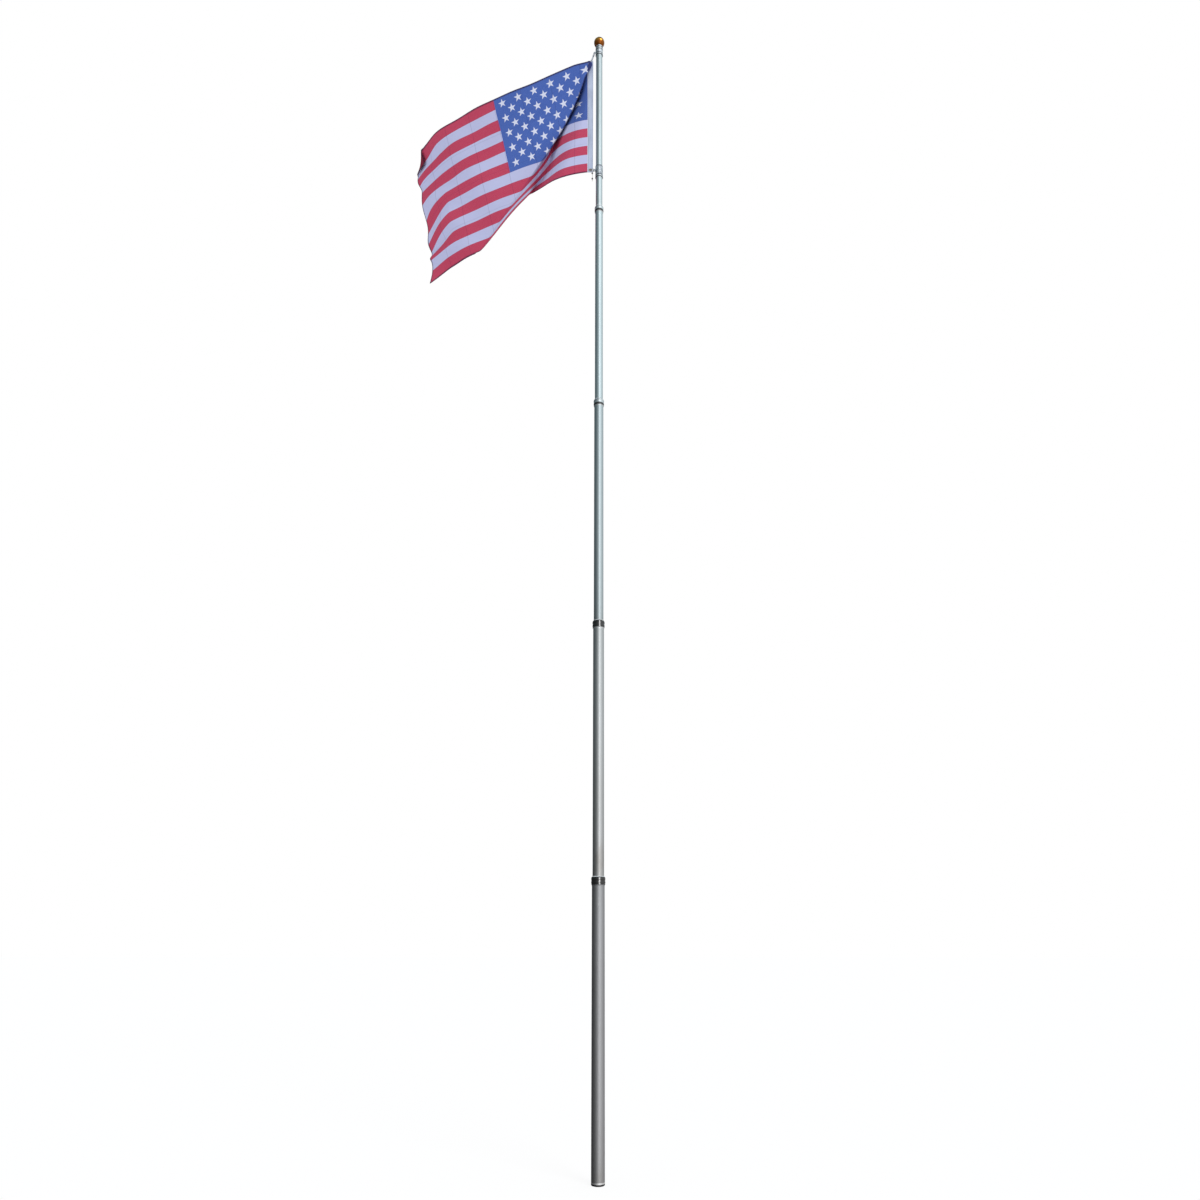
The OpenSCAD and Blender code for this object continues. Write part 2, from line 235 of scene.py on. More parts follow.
# Foot: a black moulded plug that is pressed into the lowest tube. Its flange stands under the
# tube's end, and the rim has gone grey with dust from the ground.
rubber_black = (0.006, 0.006, 0.007, 1)
dust_tone = (0.12, 0.11, 0.1, 1)
dust_h = 0.006
rubber = Finish("foot_moulding", Specular_IOR_Level=0.35)
dust = rubber.noise(60) * rubber.place.axis("Z").ramp(dust_h, 0.0) * 0.2
rubber.drive("Base Color", rubber.mix(dust, rubber_black, dust_tone))
rubber.drive("Roughness", rubber.noise(25).ramp(0.3, 0.7, 0.4, 0.65))
rubber.bump(rubber.noise(900), 0.15, 0.0002)
dress("foot", rubber)

# Tubes: five drawn aluminium tubes with a satin finish. Drawing leaves fine lines along them,
# handling leaves faint scuffs round them, and the lowest one is rougher. Its darker tone is painted
# shade, and the teal tint of the upper tubes is a painted reflection of the sky.
scuff_tone = (0.85, 0.87, 0.88, 1)
smudge_tone = (0.33, 0.27, 0.21, 1)
rim_highlight_tone = (0.9, 0.91, 0.92, 1)


def tube_finish(name, clean, dull, roughness, soiled, highlight_band):
    metal = Finish(name, Metallic=1.0)
    z = metal.place.axis("Z")
    lines = metal.noise(900, (1, 1, 0.004), 2)
    clouds = metal.noise(7, (1, 1, 0.18))
    handled = metal.noise(9).ramp(0.45, 0.7)
    scuffs = metal.noise(420, (0.15, 0.15, 1), 2).ramp(0.62, 0.78) * handled
    tone = metal.mix(clouds.ramp(0.3, 0.72), clean, dull)
    tone = metal.mix(scuffs * 0.12, tone, scuff_tone)
    soil_low, soil_high, soil_share = soiled
    smudge = z.ramp(soil_high, soil_low) * metal.noise(16, (1, 1, 0.5)).ramp(0.35, 0.65) * soil_share
    tone = metal.mix(smudge, tone, smudge_tone)
    # A narrow painted highlight band near a tube end, just above the foot or just under a collar.
    highlight_low, highlight_high = highlight_band
    rim_highlight = z.ramp(highlight_low - 0.002, highlight_low) * z.ramp(highlight_high + 0.003, highlight_high)
    metal.drive("Base Color", metal.mix(rim_highlight, tone, rim_highlight_tone))
    metal.drive("Roughness", lines * 0.03 + clouds * 0.04 + scuffs * 0.05 + smudge * 0.15 + roughness)
    metal.bump(lines + scuffs * 0.3, 0.02, 0.0002)
    return metal


collar_feet = [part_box("collar_%d" % place)[0].z for place in (1, 2, 3, 4)]
# Clean and dull tone, roughness, soiled from and to with its share, painted highlight band from and to.
# The lowest tube's darker tones are painted shade, and the teal tint of the upper three is painted sky
# reflection.
tube_looks = [
    ((0.5, 0.51, 0.53, 1), (0.44, 0.45, 0.46, 1), 0.4, (0.0, 0.4, 0.15), (0.009, 0.014)),
    ((0.66, 0.68, 0.7, 1), (0.6, 0.61, 0.61, 1), 0.28, (1.43, 1.75, 0.4),
     (collar_feet[1] - 0.007, collar_feet[1])),
    ((0.58, 0.64, 0.66, 1), (0.53, 0.58, 0.6, 1), 0.27, (2.82, 3.0, 0.12),
     (collar_feet[2] - 0.006, collar_feet[2])),
    ((0.65, 0.72, 0.74, 1), (0.6, 0.67, 0.69, 1), 0.27, (4.2, 4.3, 0.1),
     (collar_feet[3] - 0.006, collar_feet[3])),
    ((0.65, 0.71, 0.73, 1), (0.6, 0.66, 0.68, 1), 0.27, (5.6, 5.7, 0.1), (5.59, 5.596)),
]
for place, look in enumerate(tube_looks):
    name = "tube_%d" % (place + 1)
    dress(name, tube_finish(name + "_satin", *look))

# Collars: moulded caps with two grip beads on the tube ends. The two lower ones are gloss black
# all over. The two upper ones are silvered above and keep a black edge below.
collar_black = (0.003, 0.003, 0.003, 1)
collar_silver = (0.7, 0.74, 0.76, 1)
black_edge_h = 0.011
black_all_h = 1.0
paint_soft = 0.0015


def collar_finish(name, foot_z, black_h):
    gloss = Finish(name, IOR=1.7, Coat_Weight=0.5, Coat_Roughness=0.06)
    silver = (gloss.place.axis("Z") - foot_z).ramp(black_h - paint_soft, black_h + paint_soft)
    gloss.drive("Base Color", gloss.mix(silver, collar_black, collar_silver))
    gloss.drive("Metallic", silver)
    smears = gloss.noise(45, (1, 1, 0.3))
    gloss.drive("Roughness", smears.ramp(0.35, 0.75, 0.08, 0.16) + silver * 0.14)
    gloss.bump(gloss.noise(300), 0.03, 0.0002)
    return gloss


dress("collar_1", collar_finish("collar_black_1", collar_feet[0], black_all_h))
dress("collar_2", collar_finish("collar_black_2", collar_feet[1], black_all_h))
dress("collar_3", collar_finish("collar_silver_3", collar_feet[2], black_edge_h))
dress("collar_4", collar_finish("collar_silver_4", collar_feet[3], black_edge_h))

# Guide bushings: pale nylon sleeves in the tube ends that the next tube slides through. Only
# the lip shows, with grey patches of dirt.
nylon_tone = (0.68, 0.7, 0.71, 1)
nylon_dirt = (0.5, 0.5, 0.5, 1)
nylon = Finish("nylon", Subsurface_Weight=0.05)
wear = nylon.noise(70)
nylon.drive("Base Color", nylon.mix(wear.ramp(0.35, 0.7), nylon_tone, nylon_dirt))
nylon.drive("Roughness", wear.ramp(0.3, 0.7, 0.35, 0.5))
nylon.bump(nylon.noise(500), 0.1, 0.0002)
for place in (1, 2, 3, 4):
    dress("bushing_%d" % place, nylon)

# Ferrule and stop rings: turned aluminium. The ferrule plugs the top tube and carries the ball,
# and the rings are clamped on so that the two swivel rings can't wander. Their ends are darkened,
# partly by grime and partly by painted shade in the gaps between the parts.
grime_and_shade_tone = (0.06, 0.065, 0.075, 1)
grime_and_shade_h = 0.0045
grime_and_shade_full_h = 0.0015
turned_tone = (0.82, 0.84, 0.87, 1)
turned_stain = (0.66, 0.68, 0.72, 1)


def ring_metal(node, clean, stained):
    metal = Finish(node + "_metal", Metallic=1.0)
    z = metal.place.axis("Z")
    low, high = (side.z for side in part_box(node))
    grooves = metal.noise(1600, (0.1, 0.1, 1), 2)
    stains = metal.noise(70)
    # Darkened ends: grime, with painted shade in the gaps between neighbouring parts.
    ends = (z - low).ramp(grime_and_shade_h, grime_and_shade_full_h) + (high - z).ramp(grime_and_shade_h, grime_and_shade_full_h)
    tone = metal.mix(stains.ramp(0.4, 0.68), clean, stained)
    metal.drive("Base Color", metal.mix(ends * 0.8, tone, grime_and_shade_tone))
    metal.drive("Roughness", grooves.ramp(0.3, 0.7, 0.22, 0.36))
    metal.bump(grooves + stains * 0.5, 0.1, 0.0002)
    return metal


for name in ("finial_ferrule", "upper_stop_ring", "middle_stop_ring", "lower_stop_ring"):
    dress(name, ring_metal(name, turned_tone, turned_stain))

# Ball: a hollow spun ball that sits on the ferrule, under a gold lacquer. Its colour is painted
# shade low down, a darker amber brown, and painted light above, a bright gold, with random mottling.
ball_shaded_amber = (0.32, 0.09, 0.012, 1)
ball_lit_gold = (0.95, 0.58, 0.08, 1)
ball_lo, ball_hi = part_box("finial_ball")
lacquer = Finish("gold_lacquer", Metallic=0.85)
age = lacquer.noise(28)
lit_height = (lacquer.place.axis("Z") - ball_lo.z) / (ball_hi.z - ball_lo.z) + age * 0.4
# Painted shade and light: amber brown low on the ball, bright gold towards the top.
lacquer.drive("Base Color", lacquer.mix(lit_height.ramp(0.45, 1.05), ball_shaded_amber, ball_lit_gold))
lacquer.drive("Roughness", age.ramp(0.3, 0.7, 0.1, 0.2))
lacquer.bump(lacquer.noise(140), 0.08, 0.0003)
dress("finial_ball", lacquer)

# Swivel rings: satin aluminium rings that turn round the top tube between the stop rings, each
# with a welded eye tab for the flag's hardware. The lower one is stained dark.
upper_tone = (0.8, 0.82, 0.86, 1)
upper_stain = (0.62, 0.64, 0.69, 1)
lower_tone = (0.7, 0.73, 0.76, 1)
lower_stain = (0.26, 0.27, 0.32, 1)
dress("upper_swivel_ring", ring_metal("upper_swivel_ring", upper_tone, upper_stain))
dress("lower_swivel_ring", ring_metal("lower_swivel_ring", lower_tone, lower_stain))

# Snap hook and link: a zinc-plated cast hook above and a plain wire ring below. The plating is
# bright, with patches of grey bloom.
zinc_tone = (0.86, 0.87, 0.9, 1)
zinc_bloom = (0.5, 0.47, 0.54, 1)
zinc = Finish("zinc_plate", Metallic=1.0)
bloom = zinc.noise(160)
zinc.drive("Base Color", zinc.mix(bloom.ramp(0.4, 0.7), zinc_tone, zinc_bloom))
zinc.drive("Roughness", bloom.ramp(0.3, 0.7, 0.3, 0.5))
zinc.bump(zinc.noise(600), 0.12, 0.0002)
for name in ("upper_clip", "lower_clip"):
    dress(name, zinc)

# Grommets: two brass rings that are pressed through the heading near its ends. The brass is
# plain and has been dulled by the weather.
brass_tone = (0.4, 0.33, 0.22, 1)
brass_patina = (0.1, 0.09, 0.085, 1)
brass = Finish("brass", Metallic=1.0)
patina = brass.noise(220)
brass.drive("Base Color", brass.mix(patina.ramp(0.4, 0.7), brass_tone, brass_patina))
brass.drive("Roughness", patina.ramp(0.3, 0.7, 0.25, 0.5))
brass.bump(brass.noise(700), 0.1, 0.0002)
for name in ("upper_grommet", "lower_grommet"):
    dress(name, brass)

# Heading: a doubled strip of bluish white canvas along the hoist, sewn down with rows of lock
# stitch. It holds the two grommets and the edge of the cloth.
heading_lo, heading_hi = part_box("flag_heading")
heading_w = heading_hi.x - heading_lo.x
heading_h = heading_hi.z - heading_lo.z
heading_t = 0.0022
heading_edge = 0.0006
hole_r = 0.0062
hole_inset = 0.017
hole_x = heading_hi.x - 0.0175
seam_rows = (0.003, 0.006, 0.029, 0.032)
stitch_pitch = 1570
weave_pitch = 5200
canvas_tone = (0.5, 0.56, 0.72, 1)
canvas_soil = (0.36, 0.41, 0.55, 1)
canvas_thread = (0.62, 0.68, 0.8, 1)
canvas_seam = (0.16, 0.2, 0.33, 1)
canvas = Finish("canvas", Roughness=0.9, Sheen_Weight=0.2)
canvas_x = canvas.place.axis("X")
canvas_z = canvas.place.axis("Z")
weave = (canvas_x * weave_pitch).math("SINE") * (canvas_z * weave_pitch).math("SINE")
stitches = (canvas_z * stitch_pitch).math("SINE") > -0.5
seams = 0.0
for seam in seam_rows:
    seam_gap = (canvas_x - heading_lo.x - seam).math("ABSOLUTE")
    seams = seam_gap.ramp(0.0009, 0.0004) * stitches + seams
soil = canvas.noise(24, (1, 1, 0.3))
tone = canvas.mix(soil.ramp(0.35, 0.75), canvas_tone, canvas_soil)
tone = canvas.mix(weave.ramp(-1, 1) * 0.25, tone, canvas_thread)
canvas.drive("Base Color", canvas.mix(seams * 0.75, tone, canvas_seam))
canvas.bump(weave * 0.3 - seams, 0.35, 0.0004)
bpy.ops.mesh.primitive_cube_add(size=1, location=(heading_lo + heading_hi) / 2)
heading = bpy.context.object
heading.scale = (heading_w, heading_t, heading_h)
bpy.ops.object.transform_apply(location=True, rotation=True, scale=True)
for hole_z in (heading_lo.z + hole_inset, heading_hi.z - hole_inset):
    bpy.ops.mesh.primitive_cylinder_add(
        vertices=40, radius=hole_r, depth=0.02, rotation=(math.radians(90), 0, 0),
        location=(hole_x, 0, hole_z))
    punch = bpy.context.object
    bpy.ops.object.select_all(action="DESELECT")
    bpy.context.view_layer.objects.active = heading
    heading.select_set(True)
    cut = heading.modifiers.new("hole", "BOOLEAN")
    cut.operation = "DIFFERENCE"
    cut.solver = "EXACT"
    cut.object = punch
    bpy.ops.object.modifier_apply(modifier="hole")
    bpy.data.objects.remove(punch)
soft_edge = heading.modifiers.new("soft_edge", "BEVEL")
soft_edge.width = heading_edge
soft_edge.segments = 2
soft_edge.limit_method = "ANGLE"
bpy.ops.object.modifier_apply(modifier="soft_edge")
bpy.ops.object.shade_smooth_by_angle(angle=math.radians(40))
heading = add_piece("heading_canvas", "flag_rig", canvas)
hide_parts("flag_heading")

# Cloth: a printed and sewn polyester flag, thirteen stripes with a field of fifty stars. The
# hoist side swings back, a pleat that folds over above and opens below brings the cloth forward
# again, and the rest fans out from the upper grommet to the left and flutters at the fly.
cloth_w = 1.489
cloth_h = 0.914
cloth_t = 0.0009
cells_u = 230
cells_w = 140
hoist_gap = 0.001
corner = Vector((heading_lo.x - hoist_gap, 0, heading_hi.z))
down = Vector((0, 0, -1))
fan_turn = math.radians(-7)
# Arcs of the fan in degrees, with the turn that the cloth makes over each of them.
fan = [(44, 62), (3.6, -149), (2.4, 77), (80, 0)]
bend_slant = 14
# Stretches of the front in metres, with the turn that it makes over each of them.
bends = [(0.3, 0), (0.6, 20), (0.9, 47)]
across = Vector((-math.cos(fan_turn), -math.sin(fan_turn), 0))
hung = Matrix((down, across, down.cross(across))).transposed()


def fan_frame(angle):
    turned = hung
    for arc, turn in fan:
        step = min(arc, angle)
        axis = Vector((turn * step / arc, 0, step))
        if axis.length > 0:
            turned = turned @ Matrix.Rotation(math.radians(axis.length), 3, axis)
        angle -= step
    return turned


front = fan_frame(90)
slant = math.radians(bend_slant)
bend_out = front.col[0] * math.cos(slant) + front.col[1] * math.sin(slant)


def bent(out):
    x, y, angle = 0.0, 0.0, 0.0
    for place, (length, turn) in enumerate(bends):
        run = out if place == len(bends) - 1 else min(out, length)
        rate = math.radians(turn) / length
        end = angle + rate * run
        if rate == 0:
            x += run * math.cos(angle)
            y += run * math.sin(angle)
        else:
            x += (math.sin(end) - math.sin(angle)) / rate
            y += (math.cos(angle) - math.cos(end)) / rate
        angle = end
        out -= run
    return x, y, angle


def smooth(value, low, high):
    part = min(1.0, max(0.0, (value - low) / (high - low)))
    return part * part * (3 - 2 * part)


def hump(value, centre, half):
    part = max(0.0, 1 - ((value - centre) / half) ** 2)
    return part * part


fold_swing = 28
fold_reach = 0.55
fold_end = 1.0


def fold_shift(r):
    return fold_end - fold_swing * math.exp(-r / fold_reach)


# The hoist side of the pleat, in degrees round the corner: where it starts to leave the fan, and
# the crease that it ends in. Each way carries the crease off the fan, growing with the distance
# from the corner over the stretch that is named after it.
hoist_from = 14
hoist_to = 32
behind_way = Vector((-0.02, 0.13, 0.125))
behind_at = (0.08, 0.4)
open_way = Vector((0.08, 0, -0.03))
open_at = (0.5, 0.95)
tuck_way = Vector((-0.06, 0.12, 0.2))
tuck_at = (0.7, 1.3)

# The front of the pleat: the degree of its edge, the lift of that edge, which eases off over the
# next degrees, and the bunched corner that covers the heading's top.
flap_from = 50
flap_ease = (52, 75)
fold_lift = Vector((0, -0.045, -0.05))
fold_lift_at = (0.0, 0.08)
corner_shift = Vector((0.012, -0.014, -0.045))
corner_at = (-0.005, 0.03)
corner_drop_at = (0.0, 0.5)
corner_cover = 0.036
corner_cover_at = (0.03, 0.12)
fold_edge = 0.001

# The fly: two pockets of wind with their depth, centre and half width down the edge, the drooping
# lower corner, and three ripples with their height, stretch of growth and the two wavelengths.
pocket_from = 1.22
pocket_swell = 1.2
pocket_way = Vector((0, 0.7, -0.7))
pockets = [(0.11, 0.55, 0.3), (0.05, 0.12, 0.2)]
droop = Vector((-0.02, 0, -0.06))
droop_u = 1.3
droop_w = 0.78
ripples = [(0.007, 0.5, 1.2, 0.42, 0.8), (0.0025, 0.1, 0.5, 0.31, -0.23), (0.011, 0.95, cloth_w, 0.75, 0.2)]


def cloth_point(u, w, lift):
    angle = math.degrees(math.atan2(u, w))
    r = math.hypot(u, w)
    shift = fold_shift(r)
    lie = angle - shift
    if hoist_to + fold_edge < lie < flap_from - fold_edge:
        ends = [math.radians(side + shift) for side in (hoist_to, flap_from)]
        under, over = (cloth_point(r * math.sin(end), r * math.cos(end), lift) for end in ends)
        return under.lerp(over, (lie - hoist_to) / (flap_from - hoist_to))
    out = r * math.sin(math.radians(angle - bend_slant))
    x, y, turn = bent(out) if out > 0 else (out, 0.0, 0.0)
    if lie < flap_from - fold_edge:
        shape = fan_frame(angle)
        place = behind_way * smooth(r, *behind_at) + open_way * smooth(r, *open_at)
        place += tuck_way * smooth(r, *tuck_at)
        place *= smooth(lie, hoist_from, hoist_to)
    else:
        shape = front @ Matrix.Rotation(math.radians(angle - 90), 3, "Z")
        place = corner_shift.copy()
        place.x += corner_cover * (1 - smooth(r, *corner_cover_at))
        place.z *= smooth(r, *corner_drop_at)
        place *= smooth(r, *corner_at)
        place += fold_lift * smooth(r, *fold_lift_at) * (1 - smooth(lie, *flap_ease))
    away = shape.col[2] * math.cos(turn) - bend_out * math.sin(turn)
    fly_share = max(0.0, (u - pocket_from) / (cloth_w - pocket_from)) ** pocket_swell
    pocket = fly_share * sum(depth * hump(w, centre, half) for depth, centre, half in pockets)
    ripple = 0.0
    for height, grows_from, grows_to, wave_u, wave_w in ripples:
        wave = math.sin(2 * math.pi * (u / wave_u + w / wave_w))
        ripple += height * smooth(u, grows_from, grows_to) * wave
    point = corner + place + shape.col[0] * r + bend_out * (x - out) + front.col[2] * y
    point += away * (ripple - lift) + pocket_way * pocket
    return point + droop * smooth(u, droop_u, cloth_w) * smooth(w, droop_w, cloth_h)


# The upper fly corner is rolled over towards the front, round a line between two points of the
# edges, and lies on the cloth.
ear_u = 1.375
ear_w = 0.12
ear_roll = 0.008
ear_out = Vector((ear_w, ear_u - cloth_w)) / math.hypot(cloth_w - ear_u, ear_w)
bpy.ops.mesh.primitive_grid_add(x_subdivisions=cells_u, y_subdivisions=cells_w, size=1)
cloth = bpy.context.object
cloth_uv = cloth.data.uv_layers.active
cloth_uv.name = "cloth"
flat_at = [(vertex.co.x + 0.5, 0.5 - vertex.co.y) for vertex in cloth.data.vertices]
for loop in cloth.data.loops:
    cloth_uv.data[loop.index].uv = flat_at[loop.vertex_index]
for vertex, (across_share, down_share) in zip(cloth.data.vertices, flat_at):
    spot = Vector((across_share * cloth_w, down_share * cloth_h))
    beyond = max(0.0, (spot - Vector((ear_u, 0))).dot(ear_out))
    turn = min(beyond / ear_roll, math.pi)
    spot += ear_out * (ear_roll * math.sin(turn) - max(0.0, beyond - math.pi * ear_roll) - beyond)
    vertex.co = cloth_point(spot.x, spot.y, ear_roll * (1 - math.cos(turn)))

# The two folds are rounded a little, all but the edge that is sewn to the heading.
fold_round = 0.02
sewn_share = 0.001
bpy.ops.object.mode_set(mode="EDIT")
bpy.ops.mesh.select_mode(type="VERT")
bpy.ops.mesh.select_all(action="DESELECT")
bpy.ops.object.mode_set(mode="OBJECT")
for vertex, (across_share, down_share) in zip(cloth.data.vertices, flat_at):
    spot = Vector((across_share * cloth_w, down_share * cloth_h))
    lie = math.degrees(math.atan2(spot.x, spot.y)) - fold_shift(spot.length)
    off_fold = math.radians(min(abs(lie - hoist_to), abs(lie - flap_from))) * spot.length
    vertex.select = across_share > sewn_share and off_fold < fold_round
bpy.ops.object.mode_set(mode="EDIT")
bpy.ops.mesh.vertices_smooth(factor=0.5, repeat=6)
bpy.ops.object.mode_set(mode="OBJECT")
thickness = cloth.modifiers.new("thickness", "SOLIDIFY")
thickness.thickness = cloth_t
thickness.offset = 0
bpy.ops.object.modifier_apply(modifier="thickness")
bpy.ops.object.mode_set(mode="EDIT")
bpy.ops.mesh.select_all(action="SELECT")
bpy.ops.mesh.normals_make_consistent(inside=False)
bpy.ops.object.mode_set(mode="OBJECT")
bpy.ops.object.shade_smooth_by_angle(angle=math.radians(60))

# The print follows the cloth's own flat measure, across and down from the upper hoist corner.
# Seams, hems and the creases of the imported flag are sewn and pressed into it, with painted shade
# along the creases, on the hoist side, along the pleat's edge and on the rolled fly corner.
print_red = (0.6, 0.035, 0.1, 1)
print_white = (0.58, 0.59, 0.86, 1)
print_blue = (0.048, 0.122, 0.475, 1)
star_white = (0.78, 0.8, 0.95, 1)
thread_tone = (0.75, 0.78, 0.88, 1)
seam_tone = (0.2, 0.03, 0.08, 1)
hem_tone = (0.03, 0.015, 0.05, 1)
shade_tone = (0.02, 0.012, 0.07, 1)
ear_shade_tone = (0.16, 0.004, 0.02, 1)
stripe_h = cloth_h / 13
canton_w = 0.695
canton_h = 7 * stripe_h
star_columns = 12
star_rows = 10
star_r = 0.0295
star_sector = math.radians(72)
star_slope = math.radians(18)
thread_pitch = 4200
hem_w = 0.011
crease_across = 0.205
crease_first = 0.585
crease_down = cloth_h / 4
polyester = Finish("printed_polyester", Roughness=0.8, Specular_IOR_Level=0.2)


def off_middle(value):
    return (value.math("FRACT") - 0.5).math("ABSOLUTE")


flat = polyester.node("ShaderNodeUVMap", {"uv_map": "cloth"}, {})
u = flat.axis("X") * cloth_w
w = flat.axis("Y") * cloth_h
stripe = (w / (2 * stripe_h)).math("FRACT") < 0.5
in_canton = (u < canton_w) * (w < canton_h)
column = u * (star_columns / canton_w)
row = w * (star_rows / canton_h)
diagonal = ((column + row) / 2 + 0.5).math("FLOOR")
other = ((column - row) / 2 + 0.5).math("FLOOR")
star_column = diagonal + other
star_row = diagonal - other
column_here = (star_column > 0.5) * (star_column < star_columns - 0.5)
row_here = (star_row > 0.5) * (star_row < star_rows - 0.5)
star_x = (column - star_column) * (canton_w / star_columns)
star_y = (row - star_row) * (canton_h / star_rows)
star_out = (star_x * star_x + star_y * star_y).math("SQRT")
star_turn = star_x.math("ARCTAN2", star_y * -1.0)
star_fold = off_middle(star_turn / star_sector + 0.5) * star_sector
point_x = star_out * star_fold.math("COSINE")
point_y = star_out * star_fold.math("SINE")
star_edge = (star_r - point_x) * math.sin(star_slope) - point_y * math.cos(star_slope)
star = star_edge.ramp(-0.0006, 0.0006) * column_here * row_here * in_canton
threads = (u * thread_pitch).math("SINE") * (w * thread_pitch).math("SINE")
stripe_seam = off_middle(w / stripe_h).ramp(0.478, 0.497) * (1.0 - in_canton)
hem_edge = (cloth_w - u).math("MINIMUM", w).math("MINIMUM", cloth_h - w)
hem = hem_edge.ramp(0.012, 0.009)
hem_stitch = (hem_edge - hem_w).math("ABSOLUTE").ramp(0.0016, 0.0006)
hem_line = hem_edge.ramp(hem_w, 0.005)
crease_u = off_middle(u / crease_across + crease_first).ramp(0.484, 0.5)
crease_w = off_middle(w / crease_down).ramp(0.486, 0.5)
far = (u * u + w * w).math("SQRT")
swing = (far / -fold_reach).math("EXPONENT") * fold_swing - fold_end
lie = u.math("ARCTAN2", w) * math.degrees(1) + swing
fold_gap = (lie - flap_from) * far * math.radians(1)
pleat_side = fold_gap.ramp(-0.045, -0.008) * fold_gap.ramp(0.011, 0.004)
pleat_shade = pleat_side * far.ramp(0.95, 0.5, 0.15, 1.0)
# Painted shade on the hoist side of the pleat, deeper in the blue field.
hoist_shade = lie.ramp(flap_from - 3, flap_from - 6)
# Painted shade on the rolled-over fly corner, where the back of the cloth shows.
ear_shade = ((u - ear_u) * ear_out.x + w * ear_out.y).ramp(0.004, 0.014)
tone = polyester.mix(stripe, print_white, print_red)
tone = polyester.mix(in_canton, tone, print_blue)
tone = polyester.mix(star, tone, star_white)
tone = polyester.mix(threads.ramp(-1, 1) * 0.08, tone, thread_tone)
tone = polyester.mix(stripe_seam * 0.35, tone, seam_tone)
# Painted shade along the pressed creases.
tone = polyester.mix(crease_u * 0.28 + crease_w * 0.14, tone, shade_tone)
tone = polyester.mix(hem * 0.15 + hem_stitch * 0.25, tone, hem_tone)
tone = polyester.mix(hoist_shade * (in_canton * 0.12 + 0.06), tone, shade_tone)
tone = polyester.mix(pleat_shade * 0.75, tone, shade_tone)
tone = polyester.mix(ear_shade * 0.85, tone, ear_shade_tone)
polyester.drive("Base Color", polyester.mix(hem_line * 0.8, tone, hem_tone))
sewn = star * 0.5 + stripe_seam * 0.6 + hem * 0.8 - hem_stitch
polyester.bump(sewn + threads * 0.1 + crease_u * 1.2 + crease_w, 0.35, 0.0008)
cloth = add_piece("flag_cloth", "flag_rig", polyester)
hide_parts("flag_field")

# Studio: a pale floor, an even white room and one wide soft light high on the right. A closed
# round screen, which shows in nothing but reflections, gives the metal its dark side and bright
# band, and two lamps put the highlights on the black collars and on the ball.
floor_lit = (0.85, 0.85, 0.85, 1)
floor_seen = (0.13, 0.13, 0.13, 1)
floor_glow = (0.875, 0.875, 0.875, 1)
no_light = (0, 0, 0, 1)
bpy.ops.mesh.primitive_plane_add(size=60, location=(0, 0, -0.0005))
floor = bpy.context.object
floor.name = "floor"
floor.visible_glossy = False
floor_finish = Finish("floor", Roughness=1.0, Specular_IOR_Level=0.0, Emission_Strength=1.0)
seen = floor_finish.node("ShaderNodeLightPath", {}, {}).out("Is Camera Ray")
floor_finish.drive("Base Color", floor_finish.mix(seen, floor_lit, floor_seen))
floor_finish.drive("Emission Color", floor_finish.mix(seen, no_light, floor_glow))
floor.data.materials.append(floor_finish.material)

screen_r = 12
screen_h = 34
screen_z = 8
end_glow = (0.09, 0.095, 0.1, 1)
low_tint = (0.8, 0.78, 0.77, 1)
high_tint = (1.0, 1.06, 1.08, 1)
high_haze = (0.03, 0.07, 0.08, 1)
strip_at = 0.56
# Share of the way round, with the viewer at a half, and the glow there.
band_stops = [(0.0, 0.2), (0.15, 0.06), (0.25, 0.1), (0.34, 0.16), (0.4, 0.26), (0.46, 0.48), (0.5, 0.7),
              (0.53, 1.05), (strip_at, 1.3), (0.6, 1.25), (0.64, 1.05), (0.68, 0.85), (0.76, 0.7),
              (0.86, 0.5)]
bpy.ops.mesh.primitive_cylinder_add(
    vertices=96, radius=screen_r, depth=screen_h, location=(0, 0, screen_z))
screen = bpy.context.object
screen.name = "reflection_screen"
screen.visible_camera = False
screen.visible_diffuse = False
screen.visible_shadow = False
screen.visible_transmission = False
glow = Finish("reflection_screen", Base_Color=no_light, Specular_IOR_Level=0.0, Emission_Strength=1.0)
glow_z = glow.place.axis("Z")
glow_turn = glow.place.axis("X").math("ARCTAN2", glow.place.axis("Y") * -1.0)
round_share = glow_turn / (2 * math.pi) + 0.5
band = glow.node("ShaderNodeValToRGB", {}, {0: round_share})
stops = band.socket.node.color_ramp.elements
for place, (at, level) in enumerate(band_stops):
    stop = stops[place] if place < 2 else stops.new(at)
    stop.position = at
    stop.color = (level, level, level, 1)
strip = (round_share - strip_at).math("ABSOLUTE").ramp(0.022, 0.01)
sky = glow_z.ramp(-10, 6)
tint = glow.mix(sky, low_tint, high_tint)
haze = glow.mix(sky, no_light, high_haze)
band = glow.node("ShaderNodeVectorMath", {"operation": "MULTIPLY"}, {0: band, 1: tint})
for more in (haze, strip * 0.5):
    band = glow.node("ShaderNodeVectorMath", {"operation": "ADD"}, {0: band, 1: more})
ends = glow_z.math("ABSOLUTE") > screen_h / 2 - 0.01
glow.drive("Emission Color", glow.mix(ends, band, end_glow))
screen.data.materials.append(glow.material)

shine_away = 9


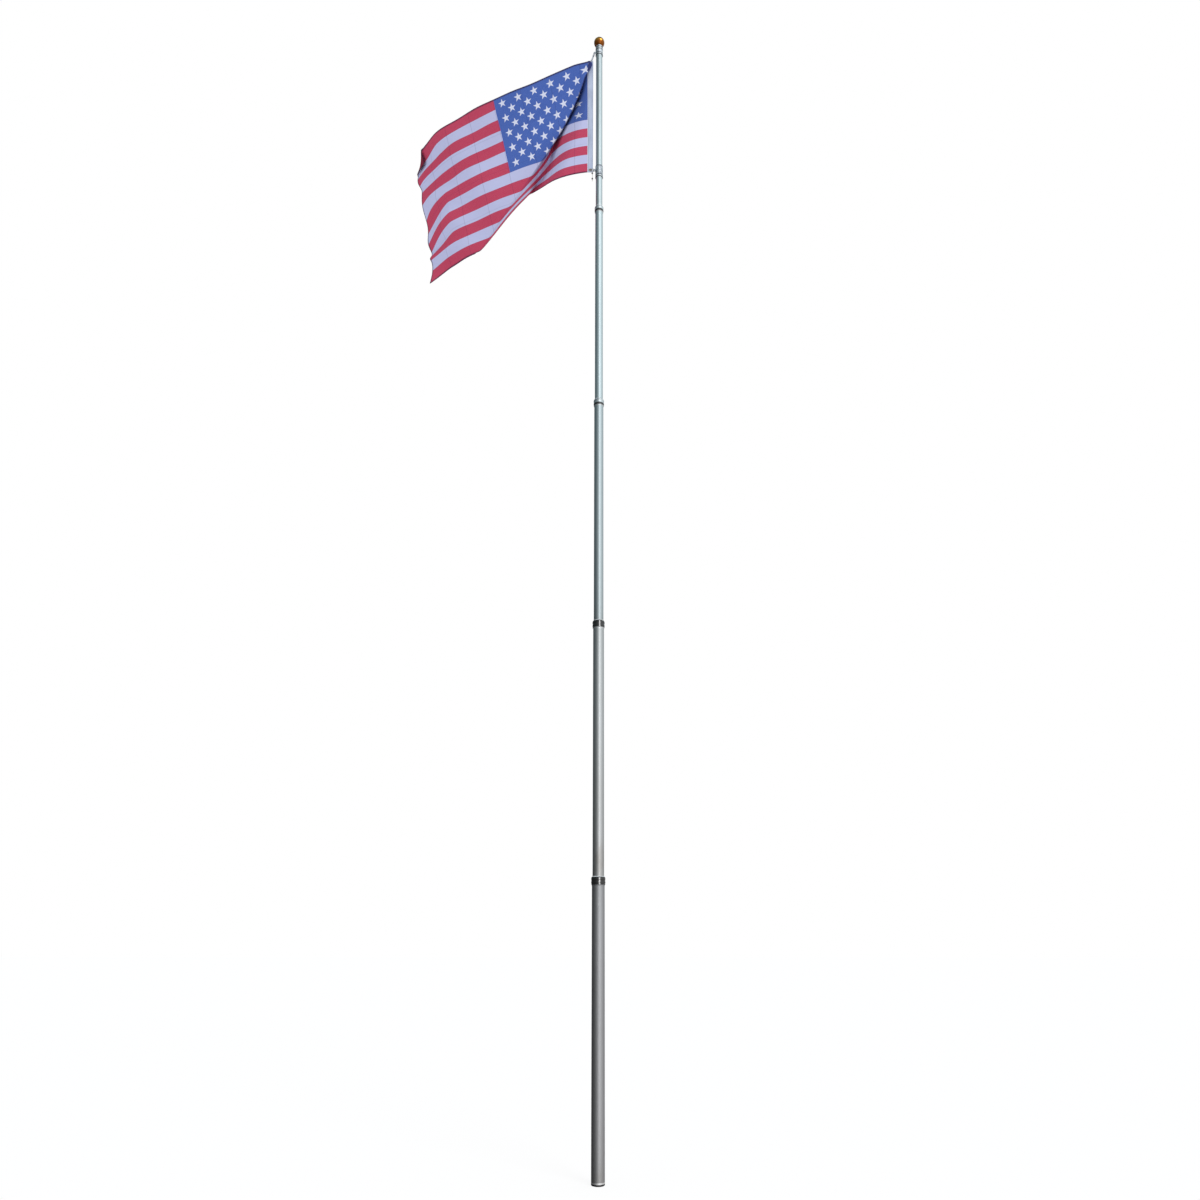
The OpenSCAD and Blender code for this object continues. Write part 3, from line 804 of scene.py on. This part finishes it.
def add_shine(name, aim, bearing, rise, width, height, level, lit):
    lamp = bpy.data.lights.new(name, "AREA")
    lamp.shape = "RECTANGLE"
    lamp.size = width
    lamp.size_y = height
    lamp.energy = level * math.pi * width * height
    shine = bpy.data.objects.new(name, lamp)
    turned = Matrix.Rotation(math.radians(bearing), 3, "Z")
    turned = turned @ Matrix.Rotation(math.radians(90 - rise), 3, "X")
    shine.rotation_euler = turned.to_euler()
    shine.location = aim + turned @ Vector((0, 0, shine_away))
    shine.visible_camera = False
    shine.visible_diffuse = False
    bpy.context.collection.objects.link(shine)
    shine.light_linking.receiver_collection = bpy.data.collections.new(name)
    for piece in lit:
        shine.light_linking.receiver_collection.objects.link(nodes[piece])


add_shine("collar_light", Vector((0, 0, screen_z)), bearing=21, rise=0, width=3.3, height=24, level=8,
          lit=("collar_1", "collar_2"))
add_shine("ball_light", (ball_lo + ball_hi) / 2, bearing=37, rise=32, width=4.6, height=4.6, level=7,
          lit=("finial_ball",))

sun_data = bpy.data.lights.new("soft_light", "SUN")
sun_data.energy = 1.1
sun_data.angle = math.radians(22)
sun = bpy.data.objects.new("soft_light", sun_data)
sun.rotation_euler = (math.radians(48), 0, math.radians(35))
sun.visible_glossy = False
bpy.context.collection.objects.link(sun)

room = bpy.data.worlds.new("room")
room.use_nodes = True
room.node_tree.nodes.clear()
room_nodes = Nodes(room.node_tree)
rays = room_nodes.node("ShaderNodeLightPath", {}, {})
shown = rays.out("Is Camera Ray").math("MAXIMUM", rays.out("Is Transmission Ray"))
shown = shown.math("MAXIMUM", rays.out("Is Glossy Ray"))
even = room_nodes.node("ShaderNodeBackground", {}, {"Color": (0.92, 0.96, 1, 1), "Strength": 0.75})
white = room_nodes.node("ShaderNodeBackground", {}, {"Color": (1, 1, 1, 1), "Strength": 1.0})
walls = room_nodes.node("ShaderNodeMixShader", {}, {0: shown, 1: even, 2: white})
room_nodes.node("ShaderNodeOutputWorld", {}, {"Surface": walls})
bpy.context.scene.world = room
bpy.context.scene.view_settings.view_transform = "Standard"
